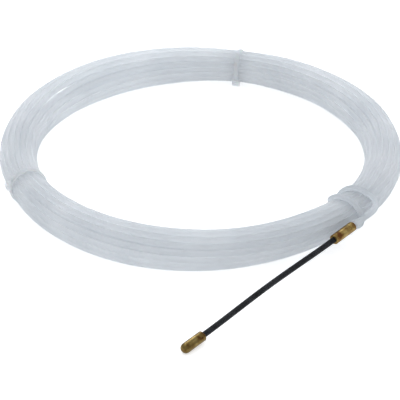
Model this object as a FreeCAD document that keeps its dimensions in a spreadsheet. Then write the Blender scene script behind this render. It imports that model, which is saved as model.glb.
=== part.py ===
import FreeCAD, Part

import math
import os

# Electrician's nylon fish tape: a flat ring coil of tape, held by two cable ties and by its own
# wrapped end, with a screwed-on spring leader on one end and a screwed-on pulling eye on the other.
#
# Frame: the origin is the ring's centre on the surface that it lies on, +Z is up, lengths in mm.
# A ring angle counts anticlockwise from +X, seen from above. In the ring's round cross-section an
# angle called "around" counts from outward towards up. Turned pieces are built along their own Z.

SHEET = "Dimensions"
FOLDER = "parts"

DIMENSIONS = {
    # the ring of tied turns: middle line, then round cross-section
    "coil_radius": 125.0,
    "oval_size": 1.5,
    "oval_angle": 37.0,
    "square_size": 1.1,
    "square_angle": -10.0,
    "bundle_radius": 12.7,
    "lean_size": 0.9,
    "lean_angle": 140.0,
    "swell_size": 0.9,
    "swell_angle": 15.0,
    "tape_diameter": 4.0,
    # where the tape's own end is wrapped round the ring, the bundle is fuller, pushed out and lifted,
    # and it is drawn in right under the wrap
    "wrap_middle": -39.0,
    "wrap_reach": 45.0,
    "wrap_swell": 0.5,
    "wrap_push": 2.2,
    "wrap_lift": 1.9,
    "squeeze_reach": 20.0,
    "squeeze_size": 1.1,
    # cable ties
    "tie_thickness": 1.1,
    "tie_width": 3.4,
    "tie_bite": 0.3,
    "tie_head_width": 5.6,
    "tie_head_length": 5.4,
    "tie_head_height": 3.4,
    "tie_head_lift": 0.1,
    "tie_stub_length": 1.0,
    # brass ferrules, alike on both ends of the tape
    "brass_diameter": 6.5,
    "collar_length": 5.0,
    "collar_chamfer": 0.7,
    "thread_diameter": 5.4,
    "thread_length": 6.0,
    "socket_bore": 5.5,
    "socket_depth": 7.0,
    # spring leader
    "socket_length": 14.5,
    "socket_chamfer": 0.3,
    "spring_diameter": 3.8,
    "spring_bore": 2.5,
    "spring_seat": 6.0,
    "spring_length": 120.4,
    "core_diameter": 1.6,
    "core_hole": 1.8,
    "stop_diameter": 3.2,
    "stop_length": 3.0,
    "stop_chamber": 3.4,
    "stop_gap": 0.4,
    "chamber_overlap": 0.5,
    "nose_length": 17.5,
    "nose_chamfer": 0.5,
    "leader_x": 97.6,
    "leader_y": -99.0,
    "leader_z": 14.2,
    "leader_heading": 226.34,
    "leader_dip": 4.07,
    # pulling eye on the tape's tail
    "eye_socket_length": 9.0,
    "eye_width": 8.4,
    "eye_thickness": 3.2,
    "eye_hole": 4.2,
    "eye_reach": 6.4,
    "eye_neck_width": 5.5,
    "tail_angle": 92.0,
    "tail_radius": 142.4,
    # how far fused pieces run into each other, and how far a cutter runs past a face
    "overlap": 1.0,
    "overrun": 1.0,
}

COIL_SECTIONS = 36
ARC_SHARE = 0.45

# cable ties: label, ring angle, and where the head sits around the bundle
TIES = [("cable_tie_far", 76.5, 212.0), ("cable_tie_left", 203.5, 15.0)]

# The free end of the tape: it leaves the bundle on its inner side, goes once and a half round it,
# and turns off into the leader. Each point is (ring angle, around, distance from bundle's middle).
LEAD_START = [
    (-28, 178, 8.4),
    (-32.5, 178, 9.1),
    (-36.5, 177, 10.4),
    (-39.8, 172, 11.8),
    (-42.2, 159, 12.4),
]
WRAP_FROM, WRAP_TO, WRAP_STEPS, WRAP_DISTANCE = (-43.2, 136), (-35.2, -306), 17, 12.4
LEAD_TURN = [(-34.6, -322, 13.0), (-34.6, -334, 13.8), (-35.3, -346, 14.4), (-36.9, -354, 14.7)]
# and its last points in the leader's own frame, the very last one inside the ferrule
LEAD_END = [(0, 0, -12), (0.15, 0, -2), (0, 0, 8)]

# The tail of the tape: out of the bundle's foot, and along beside it to the eye's ferrule.
TAIL_START = [(74, -46, 8.2), (78.5, -47, 9.2), (82.5, -45, 12.8)]
TAIL_END = [(-0.3, -1.6, -15), (0, 0.2, -6), (0.1, 0, 1), (0, 0, 8)]


# ---------------------------------------------------------------- document and sheet


def new_document():
    doc = FreeCAD.newDocument("fish_tape")
    sheet = doc.addObject("Spreadsheet::Sheet", SHEET)
    for row, (alias, value) in enumerate(DIMENSIONS.items(), start=1):
        sheet.set(f"A{row}", alias)
        sheet.set(f"B{row}", str(value))
        sheet.setAlias(f"B{row}", alias)
    doc.recompute()
    return doc, sheet


def cells(text):
    """In the formulas of this file a # stands for a cell of the sheet."""
    return text.replace("#", SHEET + ".")


def value(sheet, text):
    return float(sheet.evalExpression(cells(text)))


def bind(obj, **formulas):
    for name, text in formulas.items():
        obj.setExpression(name, cells(text))
    return obj


def bind_place(obj, axis, text):
    obj.setExpression(f".Placement.Base.{axis}", cells(text))
    return obj


def vector(x, y, z):
    return FreeCAD.Vector(x, y, z)


# ---------------------------------------------------------------- solids along their own Z


def cylinder(doc, name, diameter, length, base=None):
    obj = doc.addObject("Part::Cylinder", name)
    bind(obj, Radius=f"({diameter}) / 2", Height=length)
    return bind_place(obj, "z", base) if base else obj


def cross_cylinder(doc, name, diameter, length, height):
    """A cylinder along X, centred on Z at a height."""
    obj = cylinder(doc, name, diameter, length, height)
    obj.Placement = FreeCAD.Placement(vector(0, 0, 0), FreeCAD.Rotation(vector(0, 1, 0), 90))
    return bind_place(obj, "x", f"-({length}) / 2")


def cut(doc, name, base, tool):
    obj = doc.addObject("Part::Cut", name)
    obj.Base, obj.Tool = base, tool
    return obj


def fuse(doc, name, *pieces):
    obj = doc.addObject("Part::MultiFuse", name)
    obj.Shapes = list(pieces)
    return obj


def chamfer(doc, name, base, size, *heights):
    """Chamfers the outer round edges that lie at the given heights."""
    doc.recompute()
    rounds = [
        (number, edge)
        for number, edge in enumerate(base.Shape.Edges, start=1)
        if isinstance(edge.Curve, Part.Circle)
    ]
    widest = max(edge.Curve.Radius for _, edge in rounds)
    obj = doc.addObject("Part::Chamfer", name)
    obj.Base = base
    obj.Edges = [
        (number, size, size)
        for number, edge in rounds
        if abs(edge.Curve.Radius - widest) < 1e-6
        and any(abs(edge.Curve.Center.z - height) < 1e-6 for height in heights)
    ]
    return obj


def finish_part(obj, label, placement):
    """Makes an object a sub-part: its label names its node and its file."""
    obj.Label = label
    obj.Placement = placement
    return obj


# ---------------------------------------------------------------- shape of the ring


def wrap_share(angle, reach="#wrap_reach"):
    """Formula that is 1 in the middle of the wrapped end and falls smoothly to 0 at a reach from it."""
    away = f"abs(mod({angle} - #wrap_middle + 540; 360) - 180)"
    return f"({away} < {reach} ? (1 + cos(180 * {away} / {reach})) / 2 : 0)"


def ring_radius(angle):
    """From the ring's axis to the middle of the bundle: slightly oval and slightly square."""
    return (
        f"#coil_radius + #oval_size * cos(2 * ({angle} - #oval_angle))"
        f" + #square_size * cos(4 * ({angle} - #square_angle)) + #wrap_push * {wrap_share(angle)}"
    )


def full_radius(angle):
    """The bundle is fuller on one side, and swells between its three fastenings."""
    return (
        f"#bundle_radius + #lean_size * cos({angle} - #lean_angle)"
        f" + #swell_size * cos(3 * ({angle} - #swell_angle)) + #wrap_swell * {wrap_share(angle)}"
    )


def bundle_radius(angle):
    return f"{full_radius(angle)} - #squeeze_size * {wrap_share(angle, '#squeeze_reach')}"


def bundle_height(angle):
    """The bundle's middle: the ring lies on its two cable ties and on its wrapped end."""
    return f"{full_radius(angle)} + #tie_thickness - #tie_bite + #wrap_lift * {wrap_share(angle)}"


def ring_frame(sheet, angle):
    """Frame of a cross-section: X outward, Y up, Z along the ring, clockwise."""
    turn = math.radians(angle)
    outward = vector(math.cos(turn), math.sin(turn), 0)
    along = vector(math.sin(turn), -math.cos(turn), 0)
    up = vector(0, 0, 1)
    middle = outward * value(sheet, ring_radius(angle)) + up * value(sheet, bundle_height(angle))
    return FreeCAD.Placement(middle, FreeCAD.Rotation(outward, up, along, "ZXY"))


def on_bundle(sheet, angle, around, distance):
    turn = math.radians(around)
    return ring_frame(sheet, angle).multVec(
        vector(distance * math.cos(turn), distance * math.sin(turn), 0)
    )


def leader_frame(sheet):
    """Frame of the leader: Z runs from the back of the tape's ferrule to the nose."""
    heading = FreeCAD.Rotation(vector(0, 0, 1), sheet.leader_heading)
    dip = FreeCAD.Rotation(vector(0, 1, 0), 90 + sheet.leader_dip)
    return FreeCAD.Placement(vector(sheet.leader_x, sheet.leader_y, sheet.leader_z), heading * dip)


def tail_frame(sheet):
    """Frame of the pulling eye: level, along the ring anticlockwise, with its X axis up."""
    turn = math.radians(sheet.tail_angle)
    outward = vector(math.cos(turn), math.sin(turn), 0)
    along = vector(-math.sin(turn), math.cos(turn), 0)
    place = outward * sheet.tail_radius + vector(0, 0, sheet.brass_diameter / 2)
    return FreeCAD.Placement(place, FreeCAD.Rotation(vector(0, 0, 1), outward, along, "ZXY"))


# ---------------------------------------------------------------- tape


def build_coil(doc, sheet):
    """The tied turns as one closed body of their outer shape, lofted round the ring."""
    sections = []
    for number in range(COIL_SECTIONS):
        angle = 360 * number / COIL_SECTIONS
        section = doc.addObject("Part::Circle", f"CoilSection{number}")
        bind(section, Radius=bundle_radius(angle))
        section.Placement = ring_frame(sheet, angle)
        sections.append(section)
    coil = doc.addObject("Part::Loft", "Coil")
    coil.Sections = sections
    coil.Solid = True
    coil.Closed = True
    return finish_part(coil, "tape_coil", FreeCAD.Placement())


def rounded_path(points):
    """Straight runs joined by tangent arcs, each as large as its two runs allow."""
    edges, radii = [], []
    start = points[0]
    for before, corner, after in zip(points, points[1:], points[2:]):
        into, out = corner - before, after - corner
        setback = ARC_SHARE * min(into.Length, out.Length)
        into.normalize()
        out.normalize()
        half_turn = into.getAngle(out) / 2
        radius = setback / math.tan(half_turn)
        first, last = corner - into * setback, corner + out * setback
        inward = (out - into).normalize()
        middle = corner + inward * (radius / math.cos(half_turn) - radius)
        edges.append(Part.LineSegment(start, first).toShape())
        edges.append(Part.Arc(first, middle, last).toShape())
        radii.append(radius)
        start = last
    edges.append(Part.LineSegment(start, points[-1]).toShape())
    return Part.Wire(edges), radii


def build_free_tape(doc, sheet, label, points):
    """A tube along a route. Its radii and its volume against section times length are printed."""
    path, radii = rounded_path(points)
    rim = Part.makeCircle(sheet.tape_diameter / 2, points[0], points[1] - points[0])
    tube = doc.addObject("Part::Feature", label)
    tube.Shape = path.makePipeShell([Part.Wire([rim])], True, False)
    expected = math.pi * sheet.tape_diameter**2 / 4 * path.Length
    print(label, f"length {path.Length:.1f}, volume {tube.Shape.Volume:.0f} of {expected:.0f}")
    print(label, "radii", " ".join(f"{radius:.1f}" for radius in radii))
    return finish_part(tube, label, FreeCAD.Placement())


def lead_points(sheet):
    """The free end, from inside the bundle to inside the leader's ferrule."""
    route = list(LEAD_START)
    for step in range(WRAP_STEPS + 1):
        share = step / WRAP_STEPS
        angle = WRAP_FROM[0] + (WRAP_TO[0] - WRAP_FROM[0]) * share
        around = WRAP_FROM[1] + (WRAP_TO[1] - WRAP_FROM[1]) * share
        route.append((angle, around, WRAP_DISTANCE))
    route += LEAD_TURN
    frame = leader_frame(sheet)
    return [on_bundle(sheet, *point) for point in route] + [
        frame.multVec(vector(*point)) for point in LEAD_END
    ]


def tail_points(sheet):
    frame = tail_frame(sheet)
    return [on_bundle(sheet, *point) for point in TAIL_START] + [
        frame.multVec(vector(*point)) for point in TAIL_END
    ]


# ---------------------------------------------------------------- cable ties


def build_tie(doc, sheet, label, angle, head_around):
    """A strap pulled tight round the bundle, its head, and the strap's end, cut off above the head."""
    inner = f"2 * ({bundle_radius(angle)} - #tie_bite)"
    outer = f"{inner} + 2 * #tie_thickness"
    middle = "-#tie_width / 2"
    band = cut(
        doc,
        f"{label}_band",
        cylinder(doc, f"{label}_outside", outer, "#tie_width", middle),
        cylinder(doc, f"{label}_inside", inner, "#tie_width + 2 * #overrun", f"{middle} - #overrun"),
    )
    head = doc.addObject("Part::Box", f"{label}_head")
    bind(head, Length="#tie_head_height", Width="#tie_head_length", Height="#tie_head_width")
    bind_place(head, "x", f"{inner} / 2 + #tie_head_lift")
    bind_place(head, "y", "-#tie_head_length / 2")
    bind_place(head, "z", "-#tie_head_width / 2")
    stub = doc.addObject("Part::Box", f"{label}_stub")
    bind(stub, Length="#tie_stub_length + #overlap", Width="#tie_thickness", Height="#tie_width")
    bind_place(stub, "x", f"{inner} / 2 + #tie_head_lift + #tie_head_height - #overlap")
    bind_place(stub, "y", "-#tie_thickness / 2")
    bind_place(stub, "z", middle)
    tie = fuse(doc, label, band, head, stub)
    spin = FreeCAD.Placement(vector(0, 0, 0), FreeCAD.Rotation(vector(0, 0, 1), head_around))
    return finish_part(tie, label, ring_frame(sheet, angle) * spin)


# ---------------------------------------------------------------- turned brass and steel


def build_ferrule(doc, sheet, label, placement):
    """Collar and threaded spigot, bored to take the end of the tape."""
    collar = cylinder(doc, f"{label}_collar", "#brass_diameter", "#collar_length")
    collar = chamfer(doc, f"{label}_rim", collar, sheet.collar_chamfer, 0)
    length = "#collar_length + #thread_length"
    spigot = cylinder(doc, f"{label}_spigot", "#thread_diameter", length)
    bore = cylinder(doc, f"{label}_bore", "#tape_diameter", f"{length} + 2 * #overrun", "-#overrun")
    return finish_part(cut(doc, label, fuse(doc, f"{label}_blank", collar, spigot), bore), label, placement)


def build_socket(doc, sheet):
    """Screws onto the tape's ferrule behind, and holds the spring in front."""
    base = "#collar_length"
    front = f"{base} + #socket_length"
    seat = f"{front} - #spring_seat"
    blank = cylinder(doc, "socket_blank", "#brass_diameter", "#socket_length", base)
    blank = chamfer(
        doc, "socket_rims", blank, sheet.socket_chamfer, sheet.collar_length, value(sheet, front)
    )
    bores = fuse(
        doc,
        "socket_bores",
        cylinder(doc, "socket_thread", "#socket_bore", "#socket_depth + #overrun", f"{base} - #overrun"),
        cylinder(doc, "socket_core_hole", "#core_hole", "#socket_length", base),
        cylinder(doc, "socket_seat", "#spring_diameter", "#spring_seat + #overrun", seat),
    )
    return finish_part(cut(doc, "leader_socket", blank, bores), "leader_socket", leader_frame(sheet))


def build_spring(doc, sheet):
    """Close-wound spring as a tube of its outer and inner diameter, seated at both ends."""
    base = "#collar_length + #socket_length - #spring_seat"
    length = "#spring_length + 2 * #spring_seat"
    outside = cylinder(doc, "spring_outside", "#spring_diameter", length, base)
    through = f"{length} + 2 * #overrun"
    inside = cylinder(doc, "spring_inside", "#spring_bore", through, f"{base} - #overrun")
    return finish_part(cut(doc, "leader_spring", outside, inside), "leader_spring", leader_frame(sheet))


def core_ends():
    """The core's stops bear on the web of the socket behind and on the floor of the nose's seat."""
    rear = "#collar_length + #socket_depth - #stop_length - #stop_gap"
    front = "#collar_length + #socket_length + #spring_length + #spring_seat + #stop_gap"
    return rear, front


def build_core(doc, sheet):
    """Steel safety cord inside the spring, from one stop to the other."""
    rear, front = core_ends()
    core = cylinder(doc, "core", "#core_diameter", f"{front} - ({rear}) + #stop_length")
    start = FreeCAD.Placement(vector(0, 0, value(sheet, rear)), FreeCAD.Rotation())
    return finish_part(core, "leader_core", leader_frame(sheet) * start)


def build_stop(doc, sheet, label, base):
    """Sleeve crimped on an end of the core."""
    sleeve = cylinder(doc, f"{label}_sleeve", "#stop_diameter", "#stop_length", base)
    through = "#stop_length + 2 * #overrun"
    hole = cylinder(doc, f"{label}_hole", "#core_diameter", through, f"{base} - #overrun")
    return finish_part(cut(doc, label, sleeve, hole), label, leader_frame(sheet))


def build_nose(doc, sheet):
    """Round-ended brass nose with a seat for the spring and a chamber for the core's stop."""
    back = "#collar_length + #socket_length + #spring_length"
    straight = "#nose_length - #brass_diameter / 2"
    barrel = cylinder(doc, "nose_barrel", "#brass_diameter", straight, back)
    barrel = chamfer(doc, "nose_rim", barrel, sheet.nose_chamfer, value(sheet, back))
    end = doc.addObject("Part::Sphere", "nose_end")
    bind(end, Radius="#brass_diameter / 2")
    bind_place(end, "z", f"{back} + {straight}")
    seat_length = "#spring_seat + #overrun"
    chamber_length = "#stop_length + 2 * #stop_gap + #chamber_overlap"
    chamber = f"{back} + #spring_seat - #chamber_overlap"
    bores = fuse(
        doc,
        "nose_bores",
        cylinder(doc, "nose_spring_seat", "#spring_diameter", seat_length, f"{back} - #overrun"),
        cylinder(doc, "nose_chamber", "#stop_chamber", chamber_length, chamber),
    )
    blank = fuse(doc, "nose_blank", barrel, end)
    return finish_part(cut(doc, "leader_nose", blank, bores), "leader_nose", leader_frame(sheet))


def build_eye(doc, sheet):
    """Pulling eye: a socket for the ferrule's thread, and a flat round-ended lug with a hole."""
    base = "#collar_length"
    middle = f"{base} + #eye_socket_length + #eye_reach"
    barrel = cylinder(doc, "eye_barrel", "#brass_diameter", "#eye_socket_length", base)
    barrel = chamfer(doc, "eye_rim", barrel, sheet.socket_chamfer, sheet.collar_length)
    neck = doc.addObject("Part::Box", "eye_neck")
    bind(neck, Length="#eye_thickness", Width="#eye_neck_width", Height="#eye_reach + #overlap")
    bind_place(neck, "x", "-#eye_thickness / 2")
    bind_place(neck, "y", "-#eye_neck_width / 2")
    bind_place(neck, "z", f"{base} + #eye_socket_length - #overlap")
    disc = cross_cylinder(doc, "eye_disc", "#eye_width", "#eye_thickness", middle)
    hole = cross_cylinder(doc, "eye_hole", "#eye_hole", "#eye_thickness + 2 * #overrun", middle)
    thread = cylinder(doc, "eye_thread", "#socket_bore", "#socket_depth + #overrun", f"{base} - #overrun")
    blank = fuse(doc, "eye_blank", barrel, neck, disc)
    bores = fuse(doc, "eye_bores", thread, hole)
    return finish_part(cut(doc, "tail_eye", blank, bores), "tail_eye", tail_frame(sheet))


# ---------------------------------------------------------------- the whole


def build_parts(doc, sheet):
    rear, front = core_ends()
    parts = [
        build_coil(doc, sheet),
        build_free_tape(doc, sheet, "tape_lead", lead_points(sheet)),
        build_free_tape(doc, sheet, "tape_tail", tail_points(sheet)),
        build_ferrule(doc, sheet, "lead_ferrule", leader_frame(sheet)),
        build_ferrule(doc, sheet, "tail_ferrule", tail_frame(sheet)),
        build_socket(doc, sheet),
        build_spring(doc, sheet),
        build_core(doc, sheet),
        build_stop(doc, sheet, "core_stop_rear", rear),
        build_stop(doc, sheet, "core_stop_front", front),
        build_nose(doc, sheet),
        build_eye(doc, sheet),
    ]
    return parts + [build_tie(doc, sheet, *tie) for tie in TIES]


def check(doc, parts):
    """Stops with a message if any object failed to compute or any sub-part isn't a valid solid."""
    failed = [obj.Name for obj in doc.Objects if {"Invalid", "Error"} & set(obj.State)]
    broken = [
        part.Label
        for part in parts
        if part.Shape.isNull() or not part.Shape.isValid() or len(part.Shape.Solids) != 1
    ]
    if failed or broken:
        raise RuntimeError(f"failed objects {failed}, broken sub-parts {broken}")


def main():
    doc, sheet = new_document()
    parts = build_parts(doc, sheet)
    doc.recompute()
    check(doc, parts)
    os.makedirs(FOLDER, exist_ok=True)
    for part in parts:
        part.Shape.exportStep(f"{FOLDER}/{part.Label}.step")
        box = part.Shape.optimalBoundingBox(False)
        sides = (box.XMin, box.XMax, box.YMin, box.YMax, box.ZMin, box.ZMax)
        print(f"{part.Label:16s} {part.Shape.Volume:9.1f}", " ".join(f"{side:8.2f}" for side in sides))


main()
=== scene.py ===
import math

import bmesh
import bpy
import numpy as np
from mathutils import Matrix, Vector


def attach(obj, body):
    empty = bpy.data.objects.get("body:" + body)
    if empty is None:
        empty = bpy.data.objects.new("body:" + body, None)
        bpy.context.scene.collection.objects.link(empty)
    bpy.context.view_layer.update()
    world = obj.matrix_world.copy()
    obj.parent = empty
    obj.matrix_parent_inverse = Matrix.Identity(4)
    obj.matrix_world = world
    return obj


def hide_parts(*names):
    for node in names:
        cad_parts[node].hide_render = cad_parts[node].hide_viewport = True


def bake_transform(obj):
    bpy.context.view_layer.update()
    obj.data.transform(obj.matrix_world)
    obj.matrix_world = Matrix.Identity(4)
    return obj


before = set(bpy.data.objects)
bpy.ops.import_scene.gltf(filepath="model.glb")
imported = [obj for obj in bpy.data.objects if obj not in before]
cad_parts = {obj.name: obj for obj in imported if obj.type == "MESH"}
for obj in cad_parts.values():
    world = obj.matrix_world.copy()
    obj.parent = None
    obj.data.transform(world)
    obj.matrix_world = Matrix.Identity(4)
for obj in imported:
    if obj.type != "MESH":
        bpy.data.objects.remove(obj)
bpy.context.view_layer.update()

# An electrician's nylon fish tape: a ring coil of tape, tied twice and wrapped with its own end,
# with a spring leader on that end and a pulling eye on its tail.
#
# Lengths are metres unless a comment says mm. A ring angle counts anticlockwise from +X, seen from
# above. In the bundle's cross-section an angle called "around" counts from outward towards up.

MM = 0.001

# ---------------------------------------------------------------- camera and light

CAMERA_PLACE = (-0.000385, -0.88714, 0.54157)
CAMERA_TARGET = (-0.000385, -0.04648, 0.0)
SENSOR_WIDTH, LENS = 36.0, 133.3
LIGHTS = [
    # name, place, diameter, power in watts
    ("key", (-0.6, 0.4, 1.6), 1.4, 4),
    ("fill", (1.2, 0.4, 1.1), 1.4, 2),
    ("back", (0.0, 0.8, 0.5), 0.8, 4.7),
]
SKY_COLOUR, SKY_STRENGTH = (0.95, 0.97, 1.0, 1), 0.76


def aim(place, target):
    return (Vector(target) - Vector(place)).to_track_quat("-Z", "Y").to_euler()


def place_camera():
    data = bpy.data.cameras.new("camera")
    data.sensor_width, data.lens = SENSOR_WIDTH, LENS
    camera = bpy.data.objects.new("camera", data)
    camera.location, camera.rotation_euler = CAMERA_PLACE, aim(CAMERA_PLACE, CAMERA_TARGET)
    bpy.context.scene.collection.objects.link(camera)
    bpy.context.scene.camera = camera


def area_light(name, place, diameter, power):
    data = bpy.data.lights.new(name, "AREA")
    data.shape, data.size, data.energy = "DISK", diameter, power
    light = bpy.data.objects.new(name, data)
    light.location, light.rotation_euler = place, aim(place, (0, 0, 0))
    bpy.context.scene.collection.objects.link(light)


def light_studio():
    for light in LIGHTS:
        area_light(*light)
    world = bpy.data.worlds.new("studio")
    bpy.context.scene.world = world
    world.use_nodes = True
    sky = world.node_tree.nodes["Background"]
    sky.inputs["Color"].default_value = SKY_COLOUR
    sky.inputs["Strength"].default_value = SKY_STRENGTH
    bpy.context.scene.view_settings.view_transform = "Standard"


place_camera()
light_studio()

# ---------------------------------------------------------------- node materials


class Graph:
    """A material's node tree, with short ways to add what the materials here share."""

    def __init__(self, name):
        self.material = bpy.data.materials.new(name)
        self.material.use_nodes = True
        self.tree = self.material.node_tree
        self.shader = self.tree.nodes["Principled BSDF"]

    def node(self, kind, **settings):
        made = self.tree.nodes.new(kind)
        for key, setting in settings.items():
            setattr(made, key, setting)
        return made

    def link(self, source, target):
        self.tree.links.new(source, target)

    def set(self, **values):
        """Sets constants on the shader's own sockets, named with _ for a space."""
        for key, setting in values.items():
            self.shader.inputs[key.replace("_", " ")].default_value = setting

    def feed(self, **sources):
        """Links sources to the shader's sockets, named likewise."""
        for key, source in sources.items():
            self.link(source, self.shader.inputs[key.replace("_", " ")])

    def coordinates(self, stretch=(1, 1, 1), source="Object"):
        spot = self.node("ShaderNodeTexCoord")
        mapping = self.node("ShaderNodeMapping")
        mapping.inputs["Scale"].default_value = stretch
        self.link(spot.outputs[source], mapping.inputs["Vector"])
        return mapping.outputs["Vector"]

    def noise(self, vector, scale, detail=3.0, roughness=0.5):
        noise = self.node("ShaderNodeTexNoise")
        noise.inputs["Scale"].default_value = scale
        noise.inputs["Detail"].default_value = detail
        noise.inputs["Roughness"].default_value = roughness
        self.link(vector, noise.inputs["Vector"])
        return noise.outputs["Fac"]

    def ramp(self, factor, *stops):
        """A colour ramp of (place, colour) stops. A plain number stands for a grey."""
        ramp = self.node("ShaderNodeValToRGB")
        while len(ramp.color_ramp.elements) < len(stops):
            ramp.color_ramp.elements.new(0.5)
        for element, (place, colour) in zip(ramp.color_ramp.elements, stops):
            shades = [colour] * 3 if isinstance(colour, float) else colour
            element.position = place
            element.color = (*shades, 1)
        self.link(factor, ramp.inputs["Fac"])
        return ramp.outputs["Color"]

    def mix(self, factor, first, second, blend="MIX"):
        mix = self.node("ShaderNodeMix", data_type="RGBA", blend_type=blend)
        for socket, source in ((mix.inputs[0], factor), (mix.inputs[6], first), (mix.inputs[7], second)):
            if isinstance(source, bpy.types.NodeSocket):
                self.link(source, socket)
            else:
                socket.default_value = source
        return mix.outputs[2]

    def bump(self, height, depth):
        bump = self.node("ShaderNodeBump")
        bump.inputs["Distance"].default_value = depth
        self.link(height, bump.inputs["Height"])
        return bump.outputs["Normal"]

    def let_through(self, colour, share):
        """Lets a share of the light through the surface, and returns the finished material."""
        through = self.node("ShaderNodeBsdfTranslucent")
        self.link(colour, through.inputs["Color"])
        both = self.node("ShaderNodeMixShader")
        both.inputs["Fac"].default_value = share
        self.link(self.shader.outputs["BSDF"], both.inputs[1])
        self.link(through.outputs["BSDF"], both.inputs[2])
        self.link(both.outputs["Shader"], self.tree.nodes["Material Output"].inputs["Surface"])
        return self.material


TAPE_LENGTH = 20.0
END_SHADE = [
    # places along the tape where its painted shade begins and where it is full, and the tint of that
    # painted shade
    (TAPE_LENGTH - 0.30, TAPE_LENGTH - 0.20, (0.86, 0.87, 0.88, 1)),
    (0.13, 0.08, (0.72, 0.74, 0.75, 1)),
]


def nylon_tape():
    """Milky monofilament: light goes on from strand to strand. It has faint lines of extrusion along it,
    and its two ends are a little greyer with painted shade."""
    g = Graph("nylon_tape")
    streaks = g.noise(g.coordinates((60.0, 1.6, 1.0), "UV"), 1.0, 4.0, 0.6)
    clouds = g.noise(g.coordinates(), 38.0, 3.0)
    pale = g.ramp(clouds, (0.3, (0.90, 0.915, 0.93)), (0.7, (0.95, 0.96, 0.97)))
    colour = g.mix(0.22, pale, g.ramp(streaks, (0.35, 0.42), (0.65, 0.78)), "OVERLAY")
    spot = g.node("ShaderNodeSeparateXYZ")
    g.link(g.coordinates(source="UV"), spot.inputs["Vector"])
    # painted shade: each end of the tape is greyed towards its tip
    for unshaded, fully_shaded, tint in END_SHADE:
        shaded = g.node("ShaderNodeMapRange", interpolation_type="SMOOTHSTEP")
        shaded.inputs["From Min"].default_value = unshaded
        shaded.inputs["From Max"].default_value = fully_shaded
        g.link(spot.outputs["Y"], shaded.inputs["Value"])
        colour = g.mix(shaded.outputs["Result"], colour, g.mix(1.0, colour, tint, "MULTIPLY"))
    roughness = g.ramp(streaks, (0.3, 0.26), (0.7, 0.42))
    g.feed(Base_Color=colour, Roughness=roughness, Normal=g.bump(streaks, 0.04 * MM))
    g.set(IOR=1.45, Subsurface_Weight=1.0, Subsurface_Scale=8 * MM, Subsurface_Radius=(0.9, 1.0, 1.0))
    g.set(Specular_IOR_Level=0.45)
    return g.let_through(colour, 0.86)


def nylon_tie():
    """Moulded natural nylon, more matt than the tape."""
    g = Graph("nylon_tie")
    grain = g.noise(g.coordinates(), 900.0, 3.0)
    clouds = g.noise(g.coordinates(), 120.0, 2.0)
    colour = g.ramp(clouds, (0.3, (0.86, 0.87, 0.88)), (0.7, (0.91, 0.92, 0.93)))
    roughness = g.ramp(grain, (0.3, 0.36), (0.7, 0.52))
    g.feed(Base_Color=colour, Roughness=roughness, Normal=g.bump(grain, 0.03 * MM))
    g.set(IOR=1.45, Subsurface_Weight=0.3, Subsurface_Scale=2 * MM)
    return g.let_through(colour, 0.75)


def turned_brass(name, polish, painted_shade):
    """Turned brass with cutting lines round it, brown tarnish in patches, and bright spots rubbed by use.

    Polish is the roughness of the bright spots; the last argument darkens the whole with painted shade, for
    a piece that the light leaves darker."""
    g = Graph(name)
    tarnish = g.noise(g.coordinates(), 210.0, 4.0, 0.6)
    lines = g.noise(g.coordinates((0.02, 1.0, 1.0), "UV"), 240.0, 2.0)
    stops = (0.36, (0.11, 0.045, 0.014)), (0.48, (0.22, 0.145, 0.045)), (0.70, (0.34, 0.255, 0.095))
    gold = g.ramp(tarnish, *((place, [painted_shade * c for c in colour]) for place, colour in stops))
    lined = g.mix(0.3, gold, g.ramp(lines, (0.3, 0.3), (0.7, 0.7)), "OVERLAY")
    roughness = g.ramp(tarnish, (0.35, polish + 0.16), (0.65, polish))
    g.feed(Base_Color=lined, Roughness=roughness, Normal=g.bump(lines, 0.03 * MM))
    g.set(Metallic=1.0)
    return g.material


def black_steel():
    """Black-oxide spring wire, rubbed a little paler in patches."""
    g = Graph("black_steel")
    rub = g.noise(g.coordinates(), 160.0, 4.0, 0.65)
    fine = g.noise(g.coordinates(), 2600.0, 2.0)
    black = g.ramp(rub, (0.35, (0.008, 0.009, 0.011)), (0.7, (0.030, 0.033, 0.038)))
    roughness = g.ramp(rub, (0.3, 0.46), (0.7, 0.3))
    g.feed(Base_Color=black, Roughness=roughness, Normal=g.bump(fine, 0.01 * MM))
    g.set(Metallic=0.4, Specular_IOR_Level=0.3)
    return g.material


def steel_cord():
    """Bright steel wire, dull in patches."""
    g = Graph("steel_cord")
    dull = g.noise(g.coordinates(), 500.0, 3.0)
    steel = g.ramp(dull, (0.3, (0.30, 0.31, 0.32)), (0.7, (0.46, 0.47, 0.48)))
    g.feed(Base_Color=steel, Roughness=g.ramp(dull, (0.3, 0.42), (0.7, 0.26)))
    g.set(Metallic=1.0)
    return g.material


def pale_floor():
    """Matt white paper, which glows a little so that it stays white in the picture."""
    g = Graph("pale_floor")
    tone = g.noise(g.coordinates(), 3.0, 2.0)
    g.feed(Base_Color=g.ramp(tone, (0.3, 0.90), (0.7, 0.92)))
    g.set(Roughness=0.9, Specular_IOR_Level=0.1, Emission_Color=(1, 1, 1, 1), Emission_Strength=0.5)
    return g.material


TAPE_NYLON, TIE_NYLON = nylon_tape(), nylon_tie()
# the nose's brass is the same brass darkened with painted shade, for the darker light it gets
BRASS, SHADED_NOSE_BRASS = turned_brass("brass", 0.30, 1.0), turned_brass("nose_brass_painted_shade", 0.24, 0.66)
BLACK_STEEL, STEEL_CORD = black_steel(), steel_cord()

# ---------------------------------------------------------------- meshes


def unit(vectors):
    return vectors / np.linalg.norm(vectors, axis=-1, keepdims=True)


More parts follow.
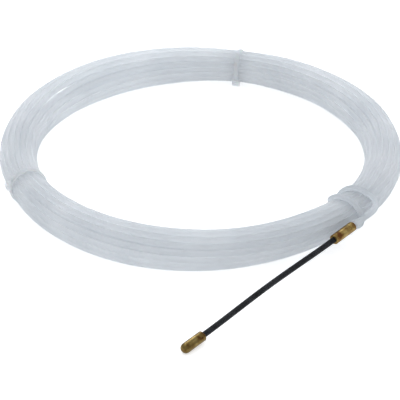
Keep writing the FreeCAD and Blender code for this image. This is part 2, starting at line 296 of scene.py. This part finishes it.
class Shape:
    """The closed surfaces that one piece is made of. Each is a row of loops with as many points each."""

    def __init__(self):
        self.points, self.faces, self.uv = [], [], []
        self.count = 0

    def add(self, loops, joined=False):
        """Adds a skin over the loops, joined from last to first, or else capped at both ends.

        Its UV runs once round each loop, and in metres from loop to loop."""
        loops = np.asarray(loops, float)
        levels, sides = loops.shape[:2]
        level = np.arange(levels if joined else levels - 1)[:, None]
        side = np.arange(sides)[None]
        here, above = level * sides, (level + 1) % levels * sides
        after = (side + 1) % sides
        quads = np.stack([here + side, here + after, above + after, above + side], -1)
        self.faces += (quads.reshape(-1, 4) + self.count).tolist()
        if not joined:
            self.faces.append((self.count + side[0][::-1]).tolist())
            self.faces.append((self.count + (levels - 1) * sides + side[0]).tolist())
        steps = np.linalg.norm(np.diff(loops, axis=0), axis=2).mean(1)
        along = np.concatenate([[0], np.cumsum(steps)])
        self.points.append(loops.reshape(-1, 3))
        self.uv.append(np.stack([np.tile(side[0] / sides, levels), np.repeat(along, sides)], 1))
        self.count += levels * sides

    def piece(self, name, material, sharp=None):
        """The piece's mesh object, smooth but for edges sharper than an angle in degrees."""
        mesh = bpy.data.meshes.new(name)
        mesh.from_pydata(np.concatenate(self.points).tolist(), [], self.faces)
        layer = mesh.uv_layers.new(name="along")
        index = np.zeros(len(mesh.loops), np.int32)
        mesh.loops.foreach_get("vertex_index", index)
        layer.data.foreach_set("uv", np.concatenate(self.uv).astype(np.float32)[index].ravel())
        outward = bmesh.new()
        outward.from_mesh(mesh)
        bmesh.ops.recalc_face_normals(outward, faces=outward.faces)
        outward.to_mesh(mesh)
        outward.free()
        mesh.materials.append(material)
        mesh.shade_smooth()
        if sharp:
            mesh.set_sharp_from_angle(angle=math.radians(sharp))
        obj = bpy.data.objects.new(name, mesh)
        bpy.context.scene.collection.objects.link(obj)
        return obj


def ride_for(piece, body, slot, *nodes):
    """Puts a piece on a body in place of CAD nodes. Its finish, the slot, is not used."""
    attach(piece, body)
    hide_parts(*nodes)


def turns(sides):
    """Angles of a loop's points, in radians."""
    return np.linspace(0, 2 * math.pi, sides, endpoint=False)


def tube_loops(line, radius, sides):
    """Loops of a tube along a line, carried along it with the least turning."""
    tangent = unit(np.gradient(line, axis=0))
    start = np.cross(tangent[0], [0.0, 0.0, 1.0])
    normals = [unit(start)]
    for t in tangent[1:]:
        normals.append(unit(normals[-1] - t * np.dot(normals[-1], t)))
    normals = np.array(normals)
    across = np.cross(tangent, normals)
    turn = turns(sides)[None, :, None]
    return line[:, None] + radius * (np.cos(turn) * normals[:, None] + np.sin(turn) * across[:, None])


def squarish(sides, half_x, half_y, power):
    """A loop between an ellipse, of power 2, and a rectangle, of a high power, as x and y."""
    turn = turns(sides)
    c, s = np.cos(turn), np.sin(turn)
    x = half_x * np.sign(c) * np.abs(c) ** (2 / power)
    y = half_y * np.sign(s) * np.abs(s) ** (2 / power)
    return x, y


# ---------------------------------------------------------------- shape of the ring, as in the CAD

# the ring's middle line and its round cross-section, in mm and degrees
RING_RADIUS, OVAL_SIZE, OVAL_ANGLE, SQUARE_SIZE, SQUARE_ANGLE = 125.0, 1.5, 37.0, 1.1, -10.0
BUNDLE_RADIUS, LEAN_SIZE, LEAN_ANGLE, SWELL_SIZE, SWELL_ANGLE = 12.7, 0.9, 140.0, 0.9, 15.0
TIE_LIFT = 0.8
# where the tape's own end is wrapped round it: what changes there, in mm, and over what reach
WRAP_ANGLE, WRAP_REACH, SQUEEZE_REACH = -39.0, 45.0, 20.0
WRAP_PUSH, WRAP_SWELL, WRAP_LIFT, SQUEEZE_SIZE = 2.2, 0.5, 1.9, 1.1

# the cable ties: piece, CAD node, ring angle, and where the head sits around the bundle
TIES = [("tie_far", "cable_tie_far", 76.5, 212.0), ("tie_left", "cable_tie_left", 203.5, 15.0)]
TAPE = 4.0 * MM
# of every brass piece, in mm
BRASS_RADIUS = 3.25


def wave(angle):
    """Cosine of an angle in degrees."""
    return math.cos(math.radians(angle))


def window(angle, middle, reach):
    """1 at a ring angle, falling smoothly to 0 at a reach either side of it."""
    away = abs((angle - middle + 180.0) % 360.0 - 180.0)
    return (1 + wave(180.0 * away / reach)) / 2 if away < reach else 0.0


def ring_radius(angle):
    """From the ring's axis to the middle of the bundle: slightly oval and slightly square."""
    oval = RING_RADIUS + OVAL_SIZE * wave(2 * (angle - OVAL_ANGLE))
    even = oval + SQUARE_SIZE * wave(4 * (angle - SQUARE_ANGLE))
    return MM * (even + WRAP_PUSH * window(angle, WRAP_ANGLE, WRAP_REACH))


def full_radius(angle):
    """The bundle is fuller on one side, and swells between its three fastenings."""
    leaning = BUNDLE_RADIUS + LEAN_SIZE * wave(angle - LEAN_ANGLE)
    even = leaning + SWELL_SIZE * wave(3 * (angle - SWELL_ANGLE))
    return MM * (even + WRAP_SWELL * window(angle, WRAP_ANGLE, WRAP_REACH))


def bundle_radius(angle):
    return full_radius(angle) - SQUEEZE_SIZE * MM * window(angle, WRAP_ANGLE, SQUEEZE_REACH)


def bundle_height(angle):
    """The bundle's middle: the ring lies on its two cable ties and on its wrapped end."""
    return full_radius(angle) + MM * (TIE_LIFT + WRAP_LIFT * window(angle, WRAP_ANGLE, WRAP_REACH))


def in_section(angle, x, y):
    """A point of the bundle's cross-section: x outward and y up from its middle."""
    turn = math.radians(angle)
    radius = ring_radius(angle) + x
    return np.array([radius * math.cos(turn), radius * math.sin(turn), bundle_height(angle) + y])


def on_bundle(angle, around, distance):
    """A point at an angle around the bundle and a distance from its middle."""
    return in_section(angle, distance * wave(around), distance * wave(around - 90))


class Axis:
    """A straight piece's own frame: z along it, from an origin, with x and y across it."""

    def __init__(self, origin, x, z):
        self.origin, self.x, self.z = np.array(origin), unit(np.array(x)), unit(np.array(z))
        self.y = np.cross(self.z, self.x)

    def at(self, x, y, z):
        x, y, z = np.broadcast_arrays(x, y, z)
        return self.origin + x[..., None] * self.x + y[..., None] * self.y + z[..., None] * self.z


LEADER_BACK, LEADER_HEADING, LEADER_DIP = (0.0976, -0.0990, 0.0142), 226.34, 4.07
TAIL_ANGLE, TAIL_RADIUS = 92.0, 0.1424


def leader_axis():
    """From the back of the tape's ferrule to the nose, x downward."""
    heading, dip = math.radians(LEADER_HEADING), math.radians(LEADER_DIP)
    level = np.array([math.cos(heading), math.sin(heading), 0.0])
    up = np.array([0.0, 0.0, 1.0])
    along = level * math.cos(dip) - up * math.sin(dip)
    return Axis(LEADER_BACK, -level * math.sin(dip) - up * math.cos(dip), along)


def tail_axis():
    """From the back of the tail's ferrule to the pulling eye, x upward."""
    turn = math.radians(TAIL_ANGLE)
    outward = np.array([math.cos(turn), math.sin(turn), 0.0])
    back = outward * TAIL_RADIUS + np.array([0, 0, BRASS_RADIUS * MM])
    return Axis(back, (0, 0, 1), (-math.sin(turn), math.cos(turn), 0))


LEADER, TAIL = leader_axis(), tail_axis()

# ---------------------------------------------------------------- the tape's route

# The tape leaves its tail's ferrule: places in the tail's frame, then on the bundle as (ring angle,
# around, distance from the bundle's middle). It runs 25 and a quarter turns clockwise and comes out on
# the bundle's inner side.
TAIL_END = [(0, 0, 0.008), (0.0001, 0, 0.001), (0, 0.0002, -0.006), (-0.0003, -0.0016, -0.015)]
TAIL_START = [(82.5, -45, 0.0128), (78.5, -47, 0.0092), (74, -46, 0.0082)]
LEAD_START = [
    (-28, 178, 0.0084),
    (-32.5, 178, 0.0091),
    (-36.5, 177, 0.0104),
    (-39.8, 172, 0.0118),
    (-42.2, 159, 0.0124),
]
# It goes once and a half round the bundle, turns off, and ends in the leader's ferrule.
WRAP_FROM, WRAP_TO, WRAP_STEPS, WRAP_DISTANCE = (-43.2, 136), (-35.2, -306), 17, 0.0124
LEAD_TURN = [(-34.6, -322, 0.0130), (-34.6, -334, 0.0138), (-35.3, -346, 0.0144), (-36.9, -354, 0.0147)]
LEAD_END = [(0, 0, -0.012), (0.00015, 0, -0.002), (0, 0, 0.008)]

# the tied turns: how many points the route has, where it starts, and how far the curve runs inside
# a circle of its points
TURN_POINTS, COIL_POINTS, COIL_START = 36, 909, 64.0
STEP = 360.0 / TURN_POINTS
CURVE_SHRINK = wave(STEP / 2)
# layers of turns: distance from the bundle's middle as a share of its radius, turns, first one's place
LAYERS = [(1.0, 16, -46.0), (0.58, 8, -70.0), (0.2, 2, -90.0)]
# how far the outer strands stand out of the CAD's solid, how much farther at the wrap, and how much
# less at the ties and over what reach
OVERFILL, WRAP_FILL, TIE_GRIP, TIE_REACH = 0.5 * MM, 0.15 * MM, 0.95 * MM, 16.0
# to and fro twist of the bundle: its size in degrees, waves round the ring, and their phase in degrees
TWISTS = [(20, 2, 40), (12, 1, -70)]
# a strand's own wander: size in mm, points that one bend of it spans, and the seed
WANDER, WANDER_SPAN, SEED = 2.4, 13, 7
# sections of the ring that a free end crosses too, and its (around, distance) there
CROSSED = {9: (178, 0.0082), 10: (177, 0.0103), 35: (-46, 0.0082)}

SETTLING_ROUNDS = 420
# distance that strands keep from each other, in strands: at first, how fast it grows, at last
KEEP_FIRST, KEEP_GROWTH, KEEP_LAST = 0.72, 0.5, 1.02
# what a round does to a point: a share of the way to its neighbours' middle and of the way back to its
# first place, a length outward, and a share of the push apart
STRAIGHTENING, RETURN, OUTWARD, APART = 0.25, 0.004, 0.10 * MM, 0.4
# strands beyond a share of the reach are outer ones, and spread evenly along the bundle's surface
OUTER_SHARE, EVEN_PUSH, EVEN_REACH = 0.8, 0.12, 1.1


def section_point(around, distance):
    """A place in a cross-section, as x outward and y up."""
    return np.array([distance * wave(around), distance * wave(around - 90)])


def coil_sites():
    """Places of the turns in a bundle of radius 1: layer after layer inward, each beside the last."""
    sites = []
    for radius, count, first in LAYERS:
        around = np.radians(first) + turns(count)
        sites.append(radius * np.stack([np.cos(around), np.sin(around)], 1))
    return np.concatenate(sites)


def strand_reach(angle):
    """How far from the bundle's middle its outer strands lie."""
    held = TIE_GRIP * sum(window(angle, tie[2], TIE_REACH) for tie in TIES)
    swell = OVERFILL + WRAP_FILL * window(angle, WRAP_ANGLE, WRAP_REACH)
    return bundle_radius(angle) - TAPE / 2 + swell - held


def drifting_turns(angle, reach):
    """The turns' first places. Each turn drifts from its own site to the next one's, the whole bundle
    twists to and fro, and each strand wanders a little."""
    rng = np.random.default_rng(SEED)
    sites = coil_sites()
    index = np.arange(COIL_POINTS)
    turn, phase = index // TURN_POINTS, (index % TURN_POINTS) / TURN_POINTS
    blend = phase**2 * (3 - 2 * phase)
    ahead = sites[np.minimum(turn + 1, len(sites) - 1)]
    place = sites[turn] * (1 - blend)[:, None] + ahead * blend[:, None]
    twist = 0.0
    for size, waves, phase_angle in TWISTS:
        twist = twist + np.radians(size) * np.sin(np.radians(waves * angle + phase_angle))
    twist = twist - twist[0]
    place = np.stack([
        place[:, 0] * np.cos(twist) - place[:, 1] * np.sin(twist),
        place[:, 0] * np.sin(twist) + place[:, 1] * np.cos(twist),
    ], 1)
    wander = rng.normal(size=(COIL_POINTS, 2))
    kernel = np.hanning(WANDER_SPAN) / np.hanning(WANDER_SPAN).sum()
    wander = np.stack([np.convolve(wander[:, i], kernel, "same") for i in (0, 1)], 1) * WANDER * MM
    return place * reach[:, None] + wander


def pushed_apart(spots, keep, reach):
    """How far strands in one cross-section push each other."""
    apart = spots[:, None] - spots[None]
    gap = np.linalg.norm(apart, axis=2) + np.eye(len(spots))
    outer = np.linalg.norm(spots, axis=1) > OUTER_SHARE * reach
    push = np.clip(keep - gap, 0, None)
    even = 2 * math.pi * reach / LAYERS[0][1]
    push += EVEN_PUSH * np.outer(outer, outer) * np.clip(EVEN_REACH * even - gap, 0, None)
    push *= 1 - np.eye(len(spots))
    return (apart / gap[..., None] * push[..., None]).sum(1) * APART


def settle_turns():
    """The turns' ring angles and places in the cross-sections, settled until they lie beside each other.

    In each round a strand straightens, the outer ones press outward, and strands that are too close in a
    cross-section push each other apart, but not out of the bundle."""
    index = np.arange(COIL_POINTS)
    angle = COIL_START - STEP * index
    reach = np.array([strand_reach(a) for a in angle])
    place = drifting_turns(angle, reach)
    first_place = place.copy()
    sections = [index[index % TURN_POINTS == number] for number in range(TURN_POINTS)]
    before, after = section_point(*CROSSED[35]), section_point(*CROSSED[9])
    for step in range(SETTLING_ROUNDS):
        keep = TAPE * min(KEEP_LAST, KEEP_FIRST + KEEP_GROWTH * step / SETTLING_ROUNDS)
        chain = np.concatenate([[before], place, [after]])
        middle = (chain[:-2] + chain[2:]) / 2
        place = place + STRAIGHTENING * (middle - place) + RETURN * (first_place - place)
        size = np.linalg.norm(place, axis=1)
        place *= 1 + (OUTWARD * np.clip(2 * size / reach - 1, 0, 1) / np.maximum(size, 1e-6))[:, None]
        for number, members in enumerate(sections):
            spots = place[members]
            if number in CROSSED:
                spots = np.concatenate([spots, [section_point(*CROSSED[number])]])
            place[members] += pushed_apart(spots, keep, reach[members[0]])[: len(members)]
        size = np.linalg.norm(place, axis=1)
        place *= np.minimum(1, reach / np.maximum(size, 1e-9))[:, None]
    return angle, place


def coil_points():
    """Control points of the tied turns, wide enough for the curve inside them to run in its place."""
    angles, places = settle_turns()
    points = []
    for angle, (x, y) in zip(angles, places):
        wide = ring_radius(angle) * (1 / CURVE_SHRINK - 1)
        points.append(in_section(angle, x + wide, y))
    return points


def wrap_points():
    """The leading end's even helix round the bundle."""
    points = []
    for step in range(WRAP_STEPS + 1):
        share = step / WRAP_STEPS
        angle = WRAP_FROM[0] + (WRAP_TO[0] - WRAP_FROM[0]) * share
        around = WRAP_FROM[1] + (WRAP_TO[1] - WRAP_FROM[1]) * share
        points.append(on_bundle(angle, around, WRAP_DISTANCE))
    return points


def tape_line():
    """The tape's centre line, from inside its tail's ferrule to inside its leader's."""
    points = [TAIL.at(*p) for p in TAIL_END] + [on_bundle(*p) for p in TAIL_START]
    points += coil_points()
    points += [on_bundle(*p) for p in LEAD_START] + wrap_points() + [on_bundle(*p) for p in LEAD_TURN]
    points += [LEADER.at(*p) for p in LEAD_END]
    curve = bpy.data.curves.new("tape_route", "CURVE")
    curve.dimensions, curve.resolution_u = "3D", 4
    spline = curve.splines.new("NURBS")
    spline.points.add(len(points) - 1)
    for spot, point in zip(spline.points, points):
        spot.co = (*point, 1)
    spline.order_u = 3
    spline.use_endpoint_u = True
    bare = bpy.data.objects.new("tape_route", curve)
    mesh = bpy.data.meshes.new_from_object(bare)
    line = np.array([v.co for v in mesh.vertices], float)
    bpy.data.objects.remove(bare)
    bpy.data.meshes.remove(mesh)
    return line


TAPE_LINE = tape_line()
TAPE_SIDES = 12


def build_tape():
    shape = Shape()
    shape.add(tube_loops(TAPE_LINE, TAPE / 2, TAPE_SIDES))
    tape = shape.piece("tape", TAPE_NYLON, sharp=60)
    ride_for(tape, "coil", "tape", "tape_coil", "tape_lead", "tape_tail")
    return tape


tape = build_tape()

# ---------------------------------------------------------------- cable ties

STRAP_THICKNESS, STRAP_WIDTH, STRAP_GAP, STRAP_POWER = 1.1 * MM, 3.4 * MM, 0.05 * MM, 5
STRAP_STEPS, STRAP_SIDES, HEAD_SIDES = 120, 16, 32
HEAD_LIFT = 0.15 * MM
# the head with the slot in its top, and the strap's cut end in that slot, from the bundle outward in
# mm: height, half length along the strap, half width, power
HEAD_LEVELS = [
    (0.00, 2.45, 2.55, 8), (0.25, 2.70, 2.80, 8), (2.75, 2.70, 2.80, 8), (3.20, 2.45, 2.60, 7),
    (3.40, 2.15, 2.35, 7), (3.38, 1.00, 2.00, 8), (3.10, 0.78, 1.86, 8), (1.30, 0.78, 1.86, 8),
]
STUB_LEVELS = [(1.0, 0.50, 1.65, 8), (4.15, 0.50, 1.65, 8), (4.40, 0.42, 1.57, 8)]


def strands_at(angle):
    """Where the tape crosses the bundle's cross-section at a ring angle: x outward and y up."""
    turned = np.degrees(np.arctan2(TAPE_LINE[:, 1], TAPE_LINE[:, 0])) - angle
    turned = (turned + 180) % 360 - 180
    spots = []
    for k in np.nonzero((turned[:-1] * turned[1:] <= 0) & (np.abs(turned[:-1]) < 90))[0]:
        share = turned[k] / (turned[k] - turned[k + 1])
        point = TAPE_LINE[k] + share * (TAPE_LINE[k + 1] - TAPE_LINE[k])
        spots.append((math.hypot(point[0], point[1]) - ring_radius(angle), point[2] - bundle_height(angle)))
    return np.array(spots)


def build_tie(name, node, angle, head_around):
    """A strap drawn tight over the strands, its head, and the cut end that stands out of the head."""
    spots = strands_at(angle)
    turn = math.radians(angle)
    outward = np.array([math.cos(turn), math.sin(turn), 0.0])
    up, along = np.array([0, 0, 1.0]), np.array([-math.sin(turn), math.cos(turn), 0.0])
    middle = in_section(angle, 0, 0)

    def over_strands(around):
        """The strap's inner surface in a direction round the bundle, and that direction."""
        facing = np.array([math.cos(around), math.sin(around)])
        spot = spots[np.argmax(spots @ facing)] + facing * (TAPE / 2 + STRAP_GAP)
        return middle + outward * spot[0] + up * spot[1], outward * facing[0] + up * facing[1]

    shape = Shape()
    loops = []
    for around in turns(STRAP_STEPS):
        inner, facing = over_strands(around)
        across, high = squarish(STRAP_SIDES, STRAP_WIDTH / 2, STRAP_THICKNESS / 2, STRAP_POWER)
        centre = inner + facing * STRAP_THICKNESS / 2
        loops.append(centre + across[:, None] * along + high[:, None] * facing)
    shape.add(loops, joined=True)
    base, facing = over_strands(math.radians(head_around))
    tangent = np.cross(along, facing)
    for levels in (HEAD_LEVELS, STUB_LEVELS):
        loops = []
        for height, half_length, half_width, power in levels:
            x, y = squarish(HEAD_SIDES, half_length * MM, half_width * MM, power)
            place = base + facing * (HEAD_LIFT + height * MM)
            loops.append(place + x[:, None] * tangent + y[:, None] * along)
        shape.add(loops)
    ride_for(shape.piece(name, TIE_NYLON, sharp=40), "coil", "cable_ties", node)


for tie in TIES:
    build_tie(*tie)

# ---------------------------------------------------------------- turned brass

# all in mm, places counted from the back of a ferrule
SIDES = 48
PITCH, THREAD_DEPTH, THREAD_STEPS = 0.5, 0.26, 6
MALE, MALE_THREAD, FEMALE, FEMALE_THREAD = 2.70, (5.3, 10.7), 2.75, (11.7, 5.3)
COLLAR_END, SPIGOT_END, SOCKET_FLOOR, SOCKET_END = 5, 11, 12, 19.5
SEAT_FLOOR, SEAT_RADIUS, SEAT_MOUTH, CORE_HOLE = 13.5, 1.92, 2.05, 0.9
TAPE_BORE, TAPE_BORE_FLOOR = 2.02, 0.15
# the rounded back edge of what screws onto a ferrule, against its collar
BACK_EDGE = [(COLLAR_END, 2.95), (5.06, 3.07), (5.22, 3.22), (5.34, BRASS_RADIUS)]


def turned_loops(axis, profile):
    """Loops round an axis from a profile of (along it, radius, depth of thread there), in mm."""
    turn = turns(SIDES)
    loops = []
    for along, radius, depth in profile:
        saw = (along / PITCH - turn / (2 * math.pi)) % 1
        reach = MM * (radius - depth * (1 - np.abs(2 * saw - 1)))
        loops.append(axis.at(reach * np.cos(turn), reach * np.sin(turn), along * MM))
    return loops


def plain(*profile):
    return [(along, radius, 0.0) for along, radius in profile]


def thread(start, end, radius):
    """Profile of a thread between two places, shallow at both ends."""
    count = round(abs(end - start) / PITCH * THREAD_STEPS)
    places = np.linspace(start, end, count + 1)
    fade = np.minimum(1, np.minimum(np.abs(places - start), np.abs(places - end)) / PITCH)
    return [(place, radius, THREAD_DEPTH * share) for place, share in zip(places, fade)]


def build_ferrule(name, node, axis):
    """Collar, threaded spigot, and a bore for the tape through both."""
    back = plain((0, 2.12), (0, 2.5), (0.04, 2.58), (0.66, 3.2), (0.74, BRASS_RADIUS))
    front = plain((4.85, BRASS_RADIUS), (COLLAR_END, 3.12), (COLLAR_END, 2.45))
    spigot = thread(*MALE_THREAD, MALE) + plain((SPIGOT_END, 2.35), (SPIGOT_END, 2.06))
    bore = plain((TAPE_BORE_FLOOR, TAPE_BORE))
    shape = Shape()
    shape.add(turned_loops(axis, back + front + spigot + bore), joined=True)
    ride_for(shape.piece(name, BRASS, sharp=30), "coil", "brass", node)


def build_socket():
    """Threaded behind for the tape's ferrule, bored in front for the spring, with a web between."""
    outside = plain(*BACK_EDGE, (19.1, BRASS_RADIUS), (19.32, 3.2), (19.48, 3.05), (SOCKET_END, 2.9))
    seat = plain((SOCKET_END, SEAT_MOUTH), (19.35, SEAT_RADIUS), (SEAT_FLOOR, SEAT_RADIUS))
    web = plain((SEAT_FLOOR, 0.98), (13.42, CORE_HOLE), (12.05, CORE_HOLE), (SOCKET_FLOOR, 0.98))
    bore = plain((SOCKET_FLOOR, 2.45)) + thread(*FEMALE_THREAD, FEMALE)
    shape = Shape()
    shape.add(turned_loops(LEADER, outside + seat + web + bore), joined=True)
    ride_for(shape.piece("socket", BRASS, sharp=30), "leader_base", "brass", "leader_socket")


NOSE_BACK, NOSE_DOME = 139.9, 154.15
CHAMBER_START, CHAMBER_END, CHAMBER_RADIUS = 145.95, 149.7, 1.7


def build_nose():
    """A chamber for the core's stop, a seat for the spring, and a round end."""
    chamber = [(CHAMBER_END, 0.2), (CHAMBER_END, CHAMBER_RADIUS), (CHAMBER_START, CHAMBER_RADIUS)]
    seat = [(145.9, SEAT_RADIUS), (NOSE_BACK + 0.12, SEAT_RADIUS)]
    edge = [(0, SEAT_MOUTH), (0, 2.72), (0.05, 2.8), (0.42, 3.18), (0.52, BRASS_RADIUS)]
    barrel = [(NOSE_BACK + along, radius) for along, radius in [*edge, (13.6, BRASS_RADIUS)]]
    dome = [
        (NOSE_DOME + BRASS_RADIUS * wave(90 - rise), BRASS_RADIUS * wave(rise)) for rise in range(0, 85, 7)
    ] + [(NOSE_DOME + BRASS_RADIUS, 0.15)]
    shape = Shape()
    shape.add(turned_loops(LEADER, plain(*chamber, *seat, *barrel, *dome)))
    ride_for(shape.piece("nose", SHADED_NOSE_BRASS, sharp=30), "leader_tip", "brass", "leader_nose")


EYE_PLACE, EYE_HOLE, EYE_END, EYE_HALF, EYE_POWER = 20.4, 2.1, 4.2, 1.6, 4.6
EYE_STEM = [
    # along, half thickness, half width, power
    (12.8, 3.25, 3.25, 2.0), (13.6, 3.10, 3.20, 2.1), (14.6, 2.60, 3.10, 2.4), (15.6, 2.05, 3.15, 2.9),
    (16.6, 1.70, 3.40, 3.6), (17.6, 1.60, 3.72, 4.2), (18.6, 1.60, 3.98, 4.5), (19.5, 1.60, 4.14, 4.6),
]


def build_eye():
    """A threaded barrel forged flat into a round-ended lug, with a chamfered hole across it."""
    bore = plain((SOCKET_FLOOR, 0.2), (SOCKET_FLOOR, 2.45)) + thread(*FEMALE_THREAD, FEMALE)
    barrel = plain(*BACK_EDGE, (SOCKET_FLOOR, BRASS_RADIUS))
    lug = list(EYE_STEM)
    for swing in range(0, 90, 9):
        lug.append((EYE_PLACE + EYE_END * wave(90 - swing), EYE_HALF, EYE_END * wave(swing), EYE_POWER))
    lug.append((EYE_PLACE + EYE_END, 1.45, 0.3, EYE_POWER))
    loops = turned_loops(TAIL, bore + barrel)
    for along, half_thickness, half_width, power in lug:
        x, y = squarish(SIDES, half_thickness * MM, half_width * MM, power)
        loops.append(TAIL.at(x, y, along * MM))
    shape = Shape()
    shape.add(loops)
    eye = shape.piece("eye", BRASS)
    drill_hole(eye)
    ride_for(eye, "tail_end", "brass", "tail_eye")


def drill_hole(eye):
    """Cuts the chamfered hole, with a tool that is deleted again."""
    across = Axis(TAIL.at(0, 0, EYE_PLACE * MM), TAIL.y, TAIL.x)
    drill = Shape()
    drill.add(turned_loops(across, plain((-2.6, 3.1), (-1.35, EYE_HOLE), (1.35, EYE_HOLE), (2.6, 3.1))))
    tool = drill.piece("eye_drill", BRASS)
    cut = eye.modifiers.new("hole", "BOOLEAN")
    cut.operation, cut.solver, cut.object = "DIFFERENCE", "EXACT", tool
    bpy.context.view_layer.update()
    drilled = bpy.data.meshes.new_from_object(eye.evaluated_get(bpy.context.evaluated_depsgraph_get()))
    eye.modifiers.clear()
    eye.data = drilled
    drilled.shade_smooth()
    drilled.set_sharp_from_angle(angle=math.radians(32))
    bpy.data.objects.remove(tool)


build_ferrule("ferrule_lead", "lead_ferrule", LEADER)
build_ferrule("ferrule_tail", "tail_ferrule", TAIL)
build_socket()
build_nose()
build_eye()

# ---------------------------------------------------------------- spring and safety core

# places along the leader, from the back of its ferrule
SPRING_START, SPRING_MIDDLE, SPRING_END, SEAT = 0.0195, 0.0797, 0.1399, 0.006
CORE_START, CORE_END, STOP_FRONT = 0.0086, 0.1493, 0.1463
WIRE, SPRING_RADIUS, SPRING_PITCH, SPRING_STEPS, WIRE_SIDES = 0.65 * MM, 1.575 * MM, 0.66 * MM, 14, 8
STRAND, STRANDS, STRAND_SIDES, CORE_LAY = 0.53 * MM, 6, 6, 0.011
BOW, BOW_RISE = 0.9 * MM, 0.25


def leader_line(along):
    """The spring's middle line, bowed a little towards the ring."""
    share = np.clip((along - SPRING_START) / (SPRING_END - SPRING_START), 0, 1)
    bow = BOW * np.sin(math.pi * share) ** 2
    return LEADER.at(-BOW_RISE * bow, -bow, along)


def helix(along, radius, turn):
    """A line round the leader's middle line."""
    return leader_line(along) + radius * (
        np.cos(turn)[:, None] * LEADER.x + np.sin(turn)[:, None] * LEADER.y
    )


def blended(shape, name, material, front, node):
    """Makes the half of a piece behind or in front of the leader's middle."""
    piece = shape.piece(name, material)
    start, end = (SPRING_MIDDLE, SPRING_END) if front else (SPRING_START, SPRING_MIDDLE)
    tuple(LEADER.at(0, 0, start))
    tuple(LEADER.at(0, 0, end))
    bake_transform(piece)
    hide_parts(node)


def build_spring(name, start, end, front):
    """Wire wound close, turn on turn."""
    count = round((end - start) / SPRING_PITCH * SPRING_STEPS)
    along = np.linspace(start, end, count)
    wire = helix(along, SPRING_RADIUS, 2 * math.pi * along / SPRING_PITCH)
    shape = Shape()
    shape.add(tube_loops(wire, WIRE / 2, WIRE_SIDES))
    blended(shape, name, BLACK_STEEL, front, "leader_spring")


def build_core(name, start, end, front):
    """Six strands laid round a seventh."""
    along = np.linspace(start, end, round((end - start) / MM))
    shape = Shape()
    shape.add(tube_loops(leader_line(along), STRAND / 2, STRAND_SIDES))
    for strand in range(STRANDS):
        turn = 2 * math.pi * (along / CORE_LAY + strand / STRANDS)
        shape.add(tube_loops(helix(along, STRAND, turn), STRAND / 2, STRAND_SIDES))
    blended(shape, name, STEEL_CORD, front, "leader_core")


STOP_LEVELS = [
    # along and radius in mm, and whether it is pressed flat there
    (0, 1.30, False), (0.12, 1.52, False), (0.55, 1.6, False), (0.85, 1.6, True), (2.15, 1.6, True),
    (2.45, 1.6, False), (2.88, 1.52, False), (3.0, 1.30, False), (3.0, 0.85, False), (0, 0.85, False),
]


def build_stop(name, node, body, start):
    """A sleeve pressed six-sided on the core, round at both ends."""
    turn = turns(SIDES)
    flats = np.cos(np.radians(30)) / np.cos((turn + math.pi / 6) % (math.pi / 3) - math.pi / 6)
    loops = []
    for along, radius, pressed in STOP_LEVELS:
        reach = radius * MM * (flats if pressed else 1)
        loops.append(LEADER.at(reach * np.cos(turn), reach * np.sin(turn), start + along * MM))
    shape = Shape()
    shape.add(loops, joined=True)
    ride_for(shape.piece(name, STEEL_CORD, sharp=25), body, "steel_core", node)


build_spring("spring_rear", SPRING_START - SEAT, SPRING_MIDDLE, front=False)
build_spring("spring_front", SPRING_MIDDLE, SPRING_END + SEAT, front=True)
build_core("core_rear", CORE_START, SPRING_MIDDLE, front=False)
build_core("core_front", SPRING_MIDDLE, CORE_END, front=True)
build_stop("stop_rear", "core_stop_rear", "leader_base", CORE_START)
build_stop("stop_front", "core_stop_front", "leader_tip", STOP_FRONT)

# ---------------------------------------------------------------- floor

FLOOR_REACH = 6.0


def build_floor():
    corners = [(x * FLOOR_REACH, y * FLOOR_REACH, 0) for x, y in ((-1, -1), (1, -1), (1, 1), (-1, 1))]
    mesh = bpy.data.meshes.new("floor")
    mesh.from_pydata(corners, [], [(0, 1, 2, 3)])
    mesh.materials.append(pale_floor())
    floor = bpy.data.objects.new("floor", mesh)
    bpy.context.scene.collection.objects.link(floor)


build_floor()

tuple(LEADER.at(0, 0, 0))
